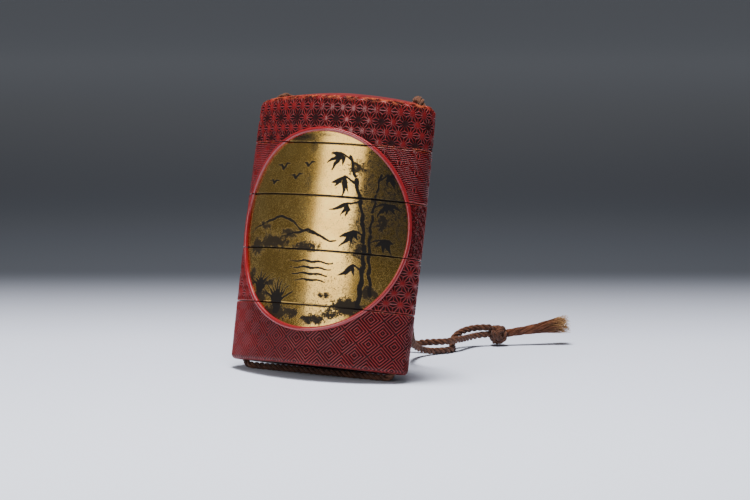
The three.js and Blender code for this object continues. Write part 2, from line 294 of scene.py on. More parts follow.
def lacquer_finish():
    """Deep red lacquer: painted nearly black where it is cut, as shade and dirt in the grooves, smooth on the
    rim, rubbed at the edges.
    """
    finish = Finish("carved_red_lacquer", Coat_Roughness=0.14, Coat_IOR=1.6, Specular_IOR_Level=0.12, IOR=1.5)
    place = finish.place()
    carving = finish.number("carving")
    polish = finish.number("polish")
    rubbed = finish.number("rubbed")
    mottle = finish.clouds(place, 0.16, 4)
    grain = finish.clouds(place, 1.7, 5, 0.65)
    body = finish.blend(mottle.between(0.3, 0.7), (0.13, 0.005, 0.006, 1), (0.19, 0.008, 0.009, 1))
    body = finish.blend(polish, body, (0.23, 0.009, 0.012, 1))
    # Painted shade: the cut parts are made nearly black, standing in for the shade in the grooves together
    # with some dirt.
    dark = carving.between(0.05, 0.7) * 0.95
    body = finish.blend(dark, body, (0.014, 0.004, 0.004, 1))
    dirt = grain.between(0.56, 0.74) * 0.35
    body = finish.blend(dirt, body, (0.05, 0.008, 0.007, 1))
    gilt = rubbed * finish.clouds(place, 0.55, 4, 0.6).between(0.42, 0.62)
    body = finish.blend(gilt * 0.7, body, (0.40, 0.085, 0.03, 1))
    finish.put("Base Color", body)
    smoothness = 1 - carving.between(0.03, 0.4)
    finish.put("Roughness", 0.42 - polish * 0.14 + dark * 0.2 + (grain - 0.5) * 0.2)
    finish.put("Coat Weight", (0.55 + polish * 0.4) * smoothness * (1 - dirt))
    finish.put("Normal", finish.raised(grain * (1.1 - polish), 0.00005, 0.5))
    return finish.material


def gold_finish():
    """Worn gold lacquer over black, with a landscape in black ink, and painted shade darkening its right
    side.
    """
    finish = Finish("gold_ground", IOR=1.5, Specular_IOR_Level=0.12, Coat_Roughness=0.1, Coat_IOR=1.5)
    place = finish.place()
    ink = finish.number("ink")
    gold_wear_and_shade = finish.number("gold_wear_and_shade")
    dabs = finish.number("dabs")
    ragged = finish.clouds(place, 0.9, 6, 0.62)
    fine = finish.clouds(place, 3.6, 4, 0.62)
    broad = finish.clouds(place, 0.13, 4, 0.6)
    powder = finish.clouds(place, 9.0, 2, 0.6)
    edge = (ragged - 0.5) * 0.6 + (fine - 0.5) * 0.35
    strokes = (ink + edge).between(-0.14, 0.06) * 0.99
    dabbed = (dabs + (ragged - 0.5) * 1.7 + (fine - 0.5) * 0.9).between(0.4, 0.66) * 0.965
    # Black smudges follow the same wear number, so they also gather on the right, where the gold is painted
    # dark as shade.
    smudge_and_shade_black = (gold_wear_and_shade + (ragged - 0.5) * 1.1 + (fine - 0.5) * 1.9).between(0.44, 0.72) * 0.96
    spots = fine.between(0.58, 0.7) * (0.35 + gold_wear_and_shade)
    black = strokes.larger(dabbed).larger(smudge_and_shade_black).larger(spots.smaller(0.85))
    gold = finish.blend(broad.between(0.35, 0.68), (0.52, 0.315, 0.075, 1), (0.62, 0.40, 0.11, 1))
    gold = finish.blend(powder.between(0.5, 0.75) * 0.4, gold, (0.30, 0.17, 0.045, 1))
    # Where the wear number is high the gold is darker: real wear, and on the right painted shade.
    gold = finish.blend(gold_wear_and_shade.between(0.2, 0.6) * 0.75, gold, (0.16, 0.105, 0.035, 1))
    finish.put("Base Color", finish.blend(black, gold, (0.005, 0.0045, 0.005, 1)))
    finish.put("Metallic", 1 - black)
    finish.put("Coat Weight", 0.12 - black * 0.12)
    finish.put("Roughness", 0.2 + (powder - 0.5) * 0.12 + (fine - 0.5) * 0.1 + black * 0.4)
    finish.put("Normal", finish.raised(powder * 0.4 + fine * 0.5 - black * 0.5, 0.000015, 0.5))
    return finish.material


def inside_finish():
    """Plain dark lacquer inside the sections and at their joints."""
    finish = Finish("inside_lacquer", Specular_IOR_Level=0.5)
    place = finish.place()
    patches = finish.clouds(place, 0.2, 4)
    grain = finish.clouds(place, 2.2, 3)
    finish.put("Base Color", finish.blend(patches, (0.02, 0.008, 0.006, 1), (0.055, 0.014, 0.01, 1)))
    finish.put("Roughness", 0.34 + grain * 0.22)
    finish.put("Normal", finish.raised(grain, 0.00004, 0.4))
    return finish.material


def silk_finish(name, dark, light, tip):
    """Twisted silk: fine yarns along each ply, with painted shade in the hollows between them, and sun-faded
    places.
    """
    finish = Finish(name, Sheen_Weight=0.12, Sheen_Roughness=0.4, Specular_IOR_Level=0.35)
    place = finish.place()
    yarn = finish.number("yarn")
    worn = finish.number("faded")
    stripes = yarn.maths("SINE", yarn * 6.2832) * 0.5 + 0.5
    patches = finish.clouds(place, 0.45, 4)
    fuzz = finish.clouds(place, 6.5, 4, 0.7)
    # Painted shade: the stripes darken the colour in the hollows between the yarns.
    colour = finish.blend((patches.between(0.3, 0.72) * 0.7 + stripes * 0.3), dark, light)
    colour = finish.blend(fuzz.between(0.5, 0.8) * 0.4, colour, dark)
    finish.put("Base Color", finish.blend(worn, colour, tip))
    finish.put("Roughness", 0.5 + fuzz * 0.35)
    finish.put("Normal", finish.raised(stripes * 0.7 + fuzz * 0.6, 0.00009, 0.8))
    return finish.material


lacquer = lacquer_finish()
gold = gold_finish()
inside = inside_finish()
silk = silk_finish("twisted_silk", (0.034, 0.012, 0.007, 1), (0.14, 0.052, 0.024, 1), (0.27, 0.115, 0.052, 1))
frayed = silk_finish("frayed_silk", (0.068, 0.019, 0.008, 1), (0.224, 0.078, 0.033, 1), (0.62, 0.36, 0.13, 1))


# Cords ---------------------------------------------------------------------------------------

def smooth_route(points, step):
    """Points every step along the smooth curve through the given ones."""
    points = np.array(points, float)
    ends = np.vstack([2 * points[0] - points[1], points, 2 * points[-1] - points[-2]])
    line = []
    for p0, p1, p2, p3 in zip(ends, ends[1:], ends[2:], ends[3:]):
        t1 = np.linalg.norm(p1 - p0) ** 0.5
        t2 = t1 + np.linalg.norm(p2 - p1) ** 0.5
        t3 = t2 + np.linalg.norm(p3 - p2) ** 0.5
        t = np.linspace(t1, t2, 24, endpoint=False)[:, None]
        a1 = (t1 - t) / t1 * p0 + t / t1 * p1
        a2 = (t2 - t) / (t2 - t1) * p1 + (t - t1) / (t2 - t1) * p2
        a3 = (t3 - t) / (t3 - t2) * p2 + (t - t2) / (t3 - t2) * p3
        b1 = (t2 - t) / t2 * a1 + t / t2 * a2
        b2 = (t3 - t) / (t3 - t1) * a2 + (t - t1) / (t3 - t1) * a3
        line.append((t2 - t) / (t2 - t1) * b1 + (t - t1) / (t2 - t1) * b2)
    return evenly(np.vstack([*line, points[-1:]]), step)


def evenly(line, step):
    """The line again, with its points all about a step apart."""
    run = np.concatenate([[0], np.cumsum(np.linalg.norm(np.diff(line, axis=0), axis=1))])
    marks = np.linspace(0, run[-1], max(2, round(run[-1] / step) + 1))
    return np.stack([np.interp(marks, run, line[:, k]) for k in range(3)], -1)


def carried_frames(line, closed=False):
    """Two directions across the line at each point, carried along it without twisting."""
    tangent = np.gradient(line, axis=0)
    if closed:
        tangent = np.roll(line, -1, 0) - np.roll(line, 1, 0)
    tangent /= np.linalg.norm(tangent, axis=1)[:, None]
    side = np.cross(tangent[0], (0.31, 0.2, 0.93))
    sides = []
    for direction in tangent:
        side = side - direction * (side @ direction)
        side /= np.linalg.norm(side)
        sides.append(side)
    sides = np.array(sides)
    return sides, np.cross(tangent, sides)


def tube_arrays(line, radii, sides=8, closed=False):
    """Points, triangles and the turn round the tube at each point."""
    count = len(line)
    across, up = carried_frames(line, closed)
    turn = np.linspace(0, 2 * math.pi, sides, endpoint=False)
    radii = np.broadcast_to(radii, (count,))[:, None, None]
    ring = line[:, None] + radii * (np.cos(turn)[None, :, None] * across[:, None]
                                    + np.sin(turn)[None, :, None] * up[:, None])
    points = ring.reshape(-1, 3)
    if closed:
        points = np.vstack([points, ring[0]])
        return points, grid_triangles(count + 1, sides)[:, ::-1], np.tile(turn, count + 1)
    points = np.vstack([points, line[:1], line[-1:]])
    return points, closed_triangles(count, sides)[:, ::-1], np.concatenate([np.tile(turn, count), [0, 0]])


def stacked(parts):
    """Several (points, triangles, yarn, faded) as one."""
    points, triangles, yarn, worn, start = [], [], [], [], 0
    for p, t, y, w in parts:
        points.append(p)
        triangles.append(t + start)
        yarn.append(y)
        worn.append(np.broadcast_to(w, (len(p),)))
        start += len(p)
    return np.vstack(points), np.vstack(triangles), np.concatenate(yarn), np.concatenate(worn)


def plies(line, radius=cord_radius, pitch=5.9, sides=8, start=0.0, closed=False, worn=0.0):
    """A rope of three plies laid round a line."""
    across, up = carried_frames(line, closed)
    run = np.concatenate([[0], np.cumsum(np.linalg.norm(np.diff(line, axis=0), axis=1))])
    if closed:
        whole = run[-1] + np.linalg.norm(line[0] - line[-1])
        pitch = whole / max(1, round(whole / pitch))
    parts = []
    for k in range(3):
        angle = start + 2 * math.pi * (run / pitch + k / 3)
        offset = radius * 0.6 * (np.cos(angle)[:, None] * across + np.sin(angle)[:, None] * up)
        centre = line + offset
        points, triangles, turn = tube_arrays(centre, radius * 0.5, sides, closed)
        along = np.repeat(run / 0.9, sides)
        along = np.concatenate([along, along[:sides] if closed else [run[0], run[-1]]])
        parts.append((points, triangles, turn / (2 * math.pi) * 5 + along, worn))
    return stacked(parts)


def cord_object(name, arrays, material):
    points, triangles, yarn, worn = arrays
    points[:, 2] = np.maximum(points[:, 2], 0)
    return mesh_object(name, points, triangles, {"yarn": yarn, "faded": worn}, None, [material])


right_route = [
    (26.9, 9, 81), (26.45, 9.8, 83), (25.3, 11.05, 84.6), (23.6, 12.6, 85), (21.8, 14.4, 84.7),
    (20.4, 16.2, 83.8), (19.5, 18, 82.3), (19, 19.2, 80), (18.7, 19.3, 77.8), (18.6, 19.8, 72),
    (18.4, 20.1, 62), (18.1, 20.3, 50), (17.6, 20.5, 38), (16.8, 21.1, 27), (15.4, 22.4, 17.5),
    (13.6, 25.4, 10.5), (11.9, 29.7, 6), (10.9, 34.1, 3.6), (11, 38.4, 2.1), (12, 41.9, 1.3),
    (13.5, 44.9, 1.1), (14.9, 47.4, 1.1), (15.2, 49.8, 1.1), (14.4, 52, 1.2), (13.2, 53.9, 1.9),
    (12.4, 55.8, 3), (12.3, 57.9, 4.2), (12.8, 60.3, 5.1), (13.8, 62.8, 5.7), (15.6, 65.4, 6.1),
    (17.3, 66.8, 6.2), (19.3, 68.1, 6.2),
]
left_route = [
    (-26.9, 9, 81.2), (-26.6, 9.7, 82.4), (-26.1, 10.95, 83.75), (-25.35, 12.95, 84.45),
    (-24.5, 15.05, 83.75), (-23.85, 16.8, 82), (-23.65, 17.35, 79.7), (-23.45, 17.5, 76),
    (-23.2, 17.7, 70), (-22.9, 18, 60), (-22.4, 18.3, 48), (-21.5, 18.8, 37), (-20.2, 20.2, 27),
    (-18.2, 22.6, 17), (-15.5, 26.2, 9.5), (-12.2, 30.9, 4.6), (-8.4, 35.6, 2), (-4.4, 39.6, 1.1),
    (-0.6, 42.2, 1.5), (3.2, 43.5, 2.4), (7, 44, 3.3), (10, 44.6, 3.7), (12.6, 46, 3.8),
    (14.4, 48.3, 3.8), (15.4, 51, 3.8), (15.7, 53.8, 3.75), (15.6, 56.8, 3.6), (15.6, 59.8, 3.5),
    (16, 62.7, 3.6), (17, 65.3, 3.8), (18.8, 67.6, 3.9),
]
knot_centre = np.array([21.6, 70.3, 3.7])
tassel_end = np.array([40.6, 86.2, 6.9])
knot_radius = 3.6


def held_line():
    """Down the left channel, under the base and up the right one."""
    under = -(cord_radius + cord_gap)
    turn = np.linspace(0, math.pi / 2, 14)
    down = [(-channel_x + bend_radius * (1 - math.cos(t)), under + bend_radius * (1 - math.sin(t)))
            for t in turn]
    up = [(-x, z) for x, z in reversed(down)]
    top = strand_start - cord_gap
    line = [(-channel_x, top), *down, *up, (channel_x, top)]
    return evenly(stood(np.array([(x, 0.0, z) for x, z in line])), 0.42)


held = cord_object("held_twisted_cord", plies(held_line(), worn=0.0), silk)
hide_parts("held_cord")
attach(held, "root")

def into_knot(line, depth=1.6):
    """The line carried on a little way inside the knot."""
    step = knot_centre - line[-1]
    step = step / np.linalg.norm(step) * depth
    return np.vstack([line, line[-1] + step * 0.25, line[-1] + step * 0.6, line[-1] + step])


right_line = into_knot(smooth_route(right_route, 0.42))
left_line = into_knot(smooth_route(left_route, 0.42))
right_cord = cord_object("right_twisted_strand", plies(right_line, start=0.4, worn=0.04), silk)
left_cord = cord_object("left_twisted_strand", plies(left_line, start=1.9, worn=0.04), silk)


def knot_arrays():
    """The knot: rope turns that pass over and under each other round a small ball."""
    turn = np.linspace(0, 2 * math.pi, 300, endpoint=False)
    parts = []
    for leads, lift_angle, offset in ((3, 0.86, 0.0), (3, 0.86, math.pi / 12)):
        around = leads * turn + offset
        tilt = lift_angle * np.cos(4 * turn) + 0.05 * np.sin(turn)
        reach = knot_radius - cord_radius - 0.28 + 0.27 * np.sin(8 * turn)
        ball = np.stack([np.cos(around) * np.cos(tilt), np.sin(around) * np.cos(tilt), np.sin(tilt)], -1)
        parts.append(plies(ball * reach[:, None], 0.92, 4.6, 7, closed=True, worn=0.05))
    points, triangles, yarn, worn = stacked(parts)
    axis = Vector(tassel_end - knot_centre).normalized()
    turned = (Vector((0, 0, 1)).rotation_difference(axis).to_matrix()
              @ Matrix.Rotation(0.5, 3, "Z"))
    points = points @ np.array(turned).T
    points *= np.minimum(1, (knot_radius - 0.02) / np.linalg.norm(points, axis=1))[:, None]
    return points + knot_centre, triangles, yarn, worn


knot = cord_object("cord_end_knot", knot_arrays(), silk)
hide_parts("cord_knot")
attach(knot, "root")


def tassel_arrays():
    """The cord's two ends beyond the knot: their plies loosen, then fray into fibres."""
    axis = tassel_end - knot_centre
    reach = np.linalg.norm(axis)
    axis = axis / reach
    side = np.cross(axis, (0, 0, 1.0))
    side /= np.linalg.norm(side)
    up = np.cross(side, axis)
    parts = []
    steps = 30
    for ply in range(6):
        for fibre in range(54):
            longest = rng.uniform(0.80, 0.985) * reach
            along = np.linspace(knot_radius * 0.75, longest, steps)
            share = along / reach
            loose = np.clip((share - 0.42) / 0.58, 0, 1) ** 1.5
            ring = 0.82 + 0.35 * np.clip((share - 0.2) / 0.5, 0, 1) + 0.75 * loose
            angle = 2 * math.pi * (ply / 6 + 0.052 * along / (0.55 + 0.9 * share))
            thick = 0.46 + 0.1 * share + 0.65 * loose
            own_reach = math.sqrt(rng.uniform(0.15, 1.0))
            own_angle = rng.uniform(0, 2 * math.pi) + along * (0.95 - 0.75 * loose)
            wander = np.cumsum(rng.normal(0, 0.05, steps)) * loose * 2.2
            drift = np.cumsum(rng.normal(0, 0.05, steps)) * loose * 2.2
            u = ring * np.cos(angle) + own_reach * thick * np.cos(own_angle) + wander
            v = ring * np.sin(angle) + own_reach * thick * np.sin(own_angle) + drift
            spread = np.hypot(u, v)
            widest = np.interp(along, (3.9, 8, 14, 18, 22.5, 24.5), (1.5, 1.75, 1.8, 2.15, 3.0, 3.1))
            press = np.minimum(1, widest / np.maximum(spread, 1e-6))
            u, v = u * press, v * press
            line = knot_centre + along[:, None] * axis + u[:, None] * side + v[:, None] * up
            thin = 0.105 * (1 - 0.62 * np.clip((share - 0.55) / 0.45, 0, 1))
            points, triangles, turn = tube_arrays(line, thin, 4)
            pale = np.clip((share - rng.uniform(0.62, 0.8)) / 0.25, 0, 1) * rng.uniform(0.35, 1.0)
            shade = np.concatenate([np.repeat(pale, 4), pale[:1], pale[-1:]])
            yarn = np.full(len(points), rng.uniform(0, 1))
            parts.append((points, triangles, yarn, shade))
    return stacked(parts)


tassel = cord_object("frayed_cord_end", tassel_arrays(), frayed)
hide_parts("tassel")
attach(tassel, "root")

for piece, node, line, ends in ((right_cord, "right_strand", right_line, [knot, tassel]),
                                (left_cord, "left_strand", left_line, [])):
    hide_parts(node)
    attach(piece, "root")


# The case's outline --------------------------------------------------------------------------

class Oval:
    """A pointed oval of four arcs. at(s, out) is the point s along it, moved outwards by out."""

    def __init__(self, width, depth, end):
        self.width, self.depth, self.end = width, depth, end
        self.side_radius = ((width - end) ** 2 + depth ** 2 - end ** 2) / (2 * (depth - end))
        self.side_angle = math.asin((width - end) / (self.side_radius - end))
        self.side_length = self.side_radius * self.side_angle
        self.quarter = self.side_length + end * (math.pi / 2 - self.side_angle)
        self.around = 4 * self.quarter

    def at(self, s, out=0.0):
        turn = s - self.around * np.round(s / self.around)
        reach = np.abs(turn)
        back = np.where(reach > self.quarter, -1.0, 1.0)
        along = np.where(back > 0, reach, 2 * self.quarter - reach)
        on_side = along < self.side_length
        angle = np.where(on_side, along / self.side_radius,
                         self.side_angle + (along - self.side_length) / self.end)
        radius = np.where(on_side, self.side_radius, self.end) + out
        x = np.where(on_side, 0.0, self.width - self.end) + radius * np.sin(angle)
        y = np.where(on_side, self.side_radius - self.depth, 0.0) - radius * np.cos(angle)
        return np.sign(turn) * x, back * y


plan = Oval(half_width, half_depth, end_radius)
cavity = Oval(cavity_half_width, cavity_half_depth, cavity_end_radius)


def swell_at(z):
    """How far the outside draws in at a height above or below the waist."""
    return -np.where(z > waist_height, taper, belly) * ((z - waist_height) / waist_height) ** 2


def smooth(value, low, high):
    t = np.clip((value - low) / (high - low), 0, 1)
    return t * t * (3 - 2 * t)


# Carved grounds ------------------------------------------------------------------------------
# Each gives the depth of the carving, 0 to 1, at s round the case and z up it.

def lattice(s, z, pitch, row, s0, z0):
    """The three corner shares of the triangle a point is in, smallest first."""
    v = (z - z0) / row
    u = (s - s0) / pitch - v / 2
    u, v = u - np.floor(u), v - np.floor(v)
    upper = u + v > 1
    a = np.where(upper, 1 - u, u)
    b = np.where(upper, 1 - v, v)
    return np.sort(np.stack([a, b, 1 - a - b]), axis=0)


def hemp_leaf(s, z, pitch, row, s0, z0, line, slope):
    """Leaf-shaped cells between the twelve ridges that meet at each crossing of a lattice."""
    low, between, _ = lattice(s, z, pitch, row, s0, z0)
    near = np.minimum(low * row, (between - low) * pitch / 2)
    return np.clip((near - line) / slope, 0, 1)


def big_stars(s, z):
    """Hemp leaf whose every second crossing is hollowed out into a dark star."""
    pitch = plan.around / 19
    away = (1 - lattice(s, z, pitch, lid_row, lid_start, lid_middle)[2]) * lid_row
    rays = 1 - smooth(away, 1.5, 2.9)
    cells = hemp_leaf(s, z, pitch / 2, lid_row / 2, lid_start, lid_middle,
                      0.055 - 0.01 * rays, 0.3 - 0.1 * rays)
    hub = 0.95 * (1 - smooth(away, 0.35, 1.35))
    return np.maximum(cells, hub)


def small_stars(s, z):
    """Hemp leaf all over."""
    return hemp_leaf(s, z, plan.around / 33, lower_row, lower_start, lower_middle, 0.06, 0.3)


def fine_lines(s, z):
    """Close horizontal lines broken by small flowers of two facing petals."""
    across = plan.around / 26
    i = np.round((s - upper_start) / across)
    middle_z = upper_middle - np.where(i % 2 == 0, 0, upper_row / 2)
    x = s - upper_start - i * across
    y = z - middle_z - upper_row * np.round((z - middle_z) / upper_row)
    wobble = 0.07 * np.sin(s * 0.9 + z * 0.3) + 0.05 * np.sin(s * 2.3 + z * 1.7)
    groove = np.abs(((z + wobble) / 0.6) % 1 - 0.5) * 2
    lines = 1 - smooth(groove, 0.2, 0.7)
    patch = (x / 0.95) ** 2 + (y / 0.85) ** 2
    bow = np.abs(np.abs(x) - (0.2 + 0.34 * np.sqrt(np.clip(1 - (y / 0.8) ** 2, 0, 1))))
    petal = smooth(bow, 0.17, 0.34)
    flower = np.where(np.abs(y) < 0.8, petal, 1.0)
    return np.where(patch < 1, flower * 0.72, lines * 0.92)


def flower_lozenges(s, z):
    """Small upright flowers on a close diagonal hatching, each inside a plain frame."""
    across = plan.around / 36
    u = (s - middle_start) / across
    v = (z - middle_middle) / middle_row
    p, q = u + v, u - v
    i, j = np.round(p), np.round(q)
    x = ((p - i) + (q - j)) / 2 * across
    y = ((p - i) - (q - j)) / 2 * middle_row
    reach = np.maximum(np.abs(p - i), np.abs(q - j)) * 2
    hatch = np.abs((reach * 3.5) % 1 - 0.5) * 2
    frame_depth = 1 - smooth(hatch, 0.2, 0.75)
    r = np.hypot(x, y * 0.8)
    angle = np.arctan2(x, y)
    petal = np.abs(np.sin(3 * angle)) * r
    leaf = 1 - smooth(petal, 0.1, 0.34)
    flower = np.where(r < 0.16, 0.7, 1 - leaf)
    return np.where(r < 0.95, flower * 0.95, frame_depth * 0.85)


def nested_lozenges(s, z):
    """Lozenges of three nested ridges round a small boss, with a plain groove between them."""
    across = plan.around / 18
    u = (s - base_start) / across
    v = (z - base_middle) / base_row
    p, q = u + v, u - v
    reach = 2 * np.maximum(np.abs(p - np.round(p)), np.abs(q - np.round(q)))
    groove = np.abs((reach * 3.5) % 1 - 0.5) * 2
    return np.where(reach > 0.95, 0.9, 0.95 * (1 - smooth(groove, 0.15, 0.8)))


def worn_end(s, z):
    """How far the carving has been rubbed away, at the left end of the lower sections."""
    wave = 1.5 * np.sin(z * 0.37) + 1.1 * np.sin(z * 0.93 + s * 0.2)
    return smooth(-s + wave, 16.5, 25.5) * (1 - smooth(-s, 44, 52)) * (1 - smooth(z, 66, 70))


# The ink picture -----------------------------------------------------------------------------

def stroke(s, z, points, widths):
    """How far inside a brush stroke a point is, in millimetres, and less than 0 outside it."""
    best = np.full(s.shape, -9.0)
    points = np.array(points, float)
    widths = np.interp(np.linspace(0, 1, len(points)), np.linspace(0, 1, len(widths)), widths)
    for (ax, az), (bx, bz), wa, wb in zip(points, points[1:], widths, widths[1:]):
        dx, dz = bx - ax, bz - az
        t = np.clip(((s - ax) * dx + (z - az) * dz) / (dx * dx + dz * dz), 0, 1)
        away = np.hypot(s - ax - t * dx, z - az - t * dz)
        best = np.maximum(best, 0.72 * (wa + (wb - wa) * t) - away)
    return best


def arc(centre, radii, start, end, count=14):
    turn = np.radians(np.linspace(start, end, count))
    return [(centre[0] + radii[0] * math.cos(t), centre[1] + radii[1] * math.sin(t)) for t in turn]


def bamboo(foot, head, bend, width, count):
    """A bamboo stalk, as lengths with a little gold left between them at the joints."""
    strokes = []
    for k in range(count):
        low, high = k / count, (k + 0.8) / count
        length = []
        for t in (low, (low + high) / 2, high):
            sway = bend * math.sin(math.pi * t)
            length.append((foot[0] + (head[0] - foot[0]) * t + sway, foot[1] + (head[1] - foot[1]) * t))
        thick = width * (1 - 0.45 * low)
        strokes.append((length, (thick * 1.15, thick * 0.85, thick * 1.15)))
    return strokes


def spray(stalk, twig_end, droop, count, reach):
    """A twig and the narrow leaves at its end. droop is the leaves' middle direction in degrees."""
    strokes = [([stalk, twig_end], (0.45, 0.35))]
    x, z = twig_end
    for k in range(count):
        turn = math.radians(droop + 31 * (k - (count - 1) / 2) + 8 * math.sin(2.7 * k + x))
        long = reach * (0.78 + 0.22 * math.cos(1.9 * k + z))
        middle = (x + 0.45 * long * math.cos(turn + 0.12), z + 0.45 * long * math.sin(turn + 0.12))
        tip = (x + long * math.cos(turn), z + long * math.sin(turn))
        strokes.append(([(x, z), middle, tip], (0.35, 0.95, 0.1)))
    return strokes


def grasses(x, z, count, tall):
    """Long blades that fan out from one root."""
    strokes = []
    for k in range(count):
        side = 2 * k / (count - 1) - 1
        high = tall * (1 - 0.35 * abs(side) + 0.12 * math.sin(3.1 * k))
        strokes.append(([(x + 0.6 * side, z), (x + 2.2 * side, z + 0.6 * high), (x + 6.5 * side, z + high)],
                        (0.8, 0.6, 0.15)))
    return strokes


def bird(x, z, size):
    """A bird far off in flight: two wings."""
    return [([(x - size, z + 0.45 * size), (x - 0.4 * size, z + 0.5 * size), (x, z)], (0.15, 0.5, 0.6)),
            ([(x, z), (x + 0.35 * size, z + 0.55 * size), (x + size, z + 0.6 * size)], (0.6, 0.5, 0.15))]


def hill(x, z, wide, high):
    """A distant hill in one dry line."""
    ridge = [(x + wide * t, z + high * math.exp(-2.2 * t * t) + 0.3 * math.sin(7 * t))
             for t in np.linspace(-1, 1, 12)]
    return [(ridge, (0.2, 0.65, 0.25))]


def ripples(x, z, wide, count):
    """Level lines of water, one under another."""
    strokes = []
    for k in range(count):
        left, level, reach = x + 1.3 * k, z - 1.9 * k, wide * (1 - 0.12 * k)
        strokes.append(([(left, level), (left + reach / 2, level + 0.35), (left + reach, level)],
                        (0.2, 0.5, 0.2)))
    return strokes


# The twig's start on the stalk, its end, the leaves' direction, and their number and length.
sprays = [
    ((10.4, 63.5), (6.6, 66.0), -128, 4, 6.8), ((12.2, 57.0), (8.4, 58.6), -112, 4, 6.6),
    ((14.0, 51.0), (10.6, 50.4), -120, 3, 6.2), ((16.6, 41.0), (13.2, 42.2), -108, 4, 6.4),
    ((20.2, 58.0), (22.2, 60.2), -52, 3, 5.8), ((19.6, 50.0), (22.6, 51.4), -64, 4, 6.2),
    ((19.6, 39.0), (23.0, 40.4), -70, 4, 6.0), ((18.4, 30.0), (14.4, 31.6), -118, 3, 5.6),
]
picture_strokes = [
    *bamboo((17.5, 19.0), (9.4, 66.0), 3.2, 1.15, 7),
    *bamboo((21.0, 23.0), (20.4, 61.0), -1.8, 0.85, 6),
    *hill(-14.0, 39.5, 15.0, 5.6),
    *hill(-3.0, 38.0, 11.0, 3.2),
    *bird(-15.0, 60.0, 3.2), *bird(-9.0, 57.2, 2.5), *bird(-18.6, 55.4, 2.1), *bird(-4.6, 61.4, 1.9),
    *grasses(-11.5, 15.6, 9, 11.0),
    *grasses(-19.8, 21.4, 7, 7.0),
    *ripples(-9.0, 31.5, 17.0, 4),
    *[ink_line for place in sprays for ink_line in spray(*place)],
]
# Broad dabs of ink, for mist, rocks and shade: middle, half width and half height, and how thick.
dabs_of_ink = [
    (-16.0, 37.4, 7.0, 2.2, 0.95), (-23.6, 35.6, 3.6, 3.0, 0.9), (-9.4, 39.8, 4.4, 1.8, 0.8),
    (-2.6, 36.4, 5.0, 1.6, 0.85), (-20.4, 42.0, 3.0, 2.0, 0.75), (-12.4, 15.2, 5.4, 2.4, 1.0),
    (-19.6, 20.2, 4.0, 2.0, 0.95), (-24.6, 26.6, 2.4, 3.2, 0.8), (-5.6, 15.6, 3.4, 1.8, 0.85),
    (3.4, 14.0, 4.2, 1.6, 0.85), (14.6, 18.6, 5.2, 2.4, 1.0), (20.6, 23.4, 3.0, 2.4, 0.9),
    (8.6, 16.0, 3.2, 1.6, 0.8), (6.2, 21.6, 3.0, 1.2, 0.7), (12.6, 61.6, 3.0, 2.4, 0.7),
    (22.4, 45.4, 2.2, 3.4, 0.8), (16.2, 36.2, 2.4, 2.8, 0.75), (-15.6, 24.4, 3.6, 1.4, 0.75),
]


def picture(s, z):
    """How far inside the brush strokes a point is, and how thickly it is dabbed with ink."""
    inked = np.full(s.shape, -9.0)
    dabs = np.zeros(s.shape)
    near = np.hypot(s, z - window_height) < window_radius + 0.5
    inside_s, inside_z = s[near], z[near]
    shift_s = 0.22 * np.sin(inside_z * 1.3 + inside_s * 0.4)
    shift_z = 0.18 * np.sin(inside_s * 1.1 + 1.0)
    best = np.full(inside_s.shape, -9.0)
    for points, widths in picture_strokes:
        best = np.maximum(best, stroke(inside_s + shift_s, inside_z + shift_z, points, widths))
    inked[near] = best
    thickest = np.zeros(inside_s.shape)
    for x, y, wide, tall, thick in dabs_of_ink:
        away = ((inside_s - x) / wide) ** 2 + ((inside_z - y) / tall) ** 2
        thickest = np.maximum(thickest, 1.1 * thick * np.exp(-0.6 * away))
    dabs[near] = thickest
    return inked, dabs


# Places where the gold has worn through: middle, half width, half height and strength.
smudges = [
    (-4.0, 56.0, 2.4, 6.0, 0.5), (-3.4, 67.5, 2.2, 3.4, 0.6), (16.5, 62.5, 2.4, 7.5, 0.6),
    (-9.0, 70.3, 7.5, 1.7, 0.85), (0.0, 71.2, 5.0, 0.9, 0.5), (14.0, 52.0, 2.6, 3.6, 0.5),
    (1.8, 13.6, 7.0, 2.0, 0.6),
]


def gold_wear_and_shade_at(s, z):
    """How dark the gold is made: on the right partly painted shade and partly wear, worn through in smudges,
    and a little everywhere.
    """
    worn = np.where(s < 0, 0.27, 0.2) + 0 * z
    # Painted shade: these two terms darken the right side, standing in for the dark room the gold reflects
    # there, with real wear mixed in.
    worn = worn + 0.36 * smooth(s - 0.12 * (z - 60), 12.0, 16.5) * smooth(z, 26, 40)
    worn = worn + 0.16 * smooth(s, 19, 25) * smooth(z, 40, 52)
    worn = worn + 0.17 * smooth(-z, -34, -20) * smooth(s, -6, 0)
    for x, y, wide, tall, strength in smudges:
        worn = np.maximum(worn, strength * np.exp(-((s - x) / wide) ** 2 - ((z - y) / tall) ** 2))
    return worn


# Sections ------------------------------------------------------------------------------------

LACQUER, GOLD, INSIDE = 0, 1, 2


def wall_ring(s, z, out, shrink=1.0):
    x, y = plan.at(s, out + swell_at(z))
    return np.stack([x * shrink, y * shrink, z + 0 * x], -1)


def crested(points):
    """The lid's points, its top edge bowed upwards in the middle of the case."""
    height = np.clip((points[..., 2] - crest_root) / (shoulder_height - crest_root), 0, 1)
    points[..., 2] += crest_rise * height * (1 - (points[..., 0] / half_width) ** 2)
    return points


def oval_ring(outline, count, z, out):
    x, y = outline.at(np.arange(count) * outline.around / count, out)
    return np.stack([x, y, np.full(count, float(z))], -1)


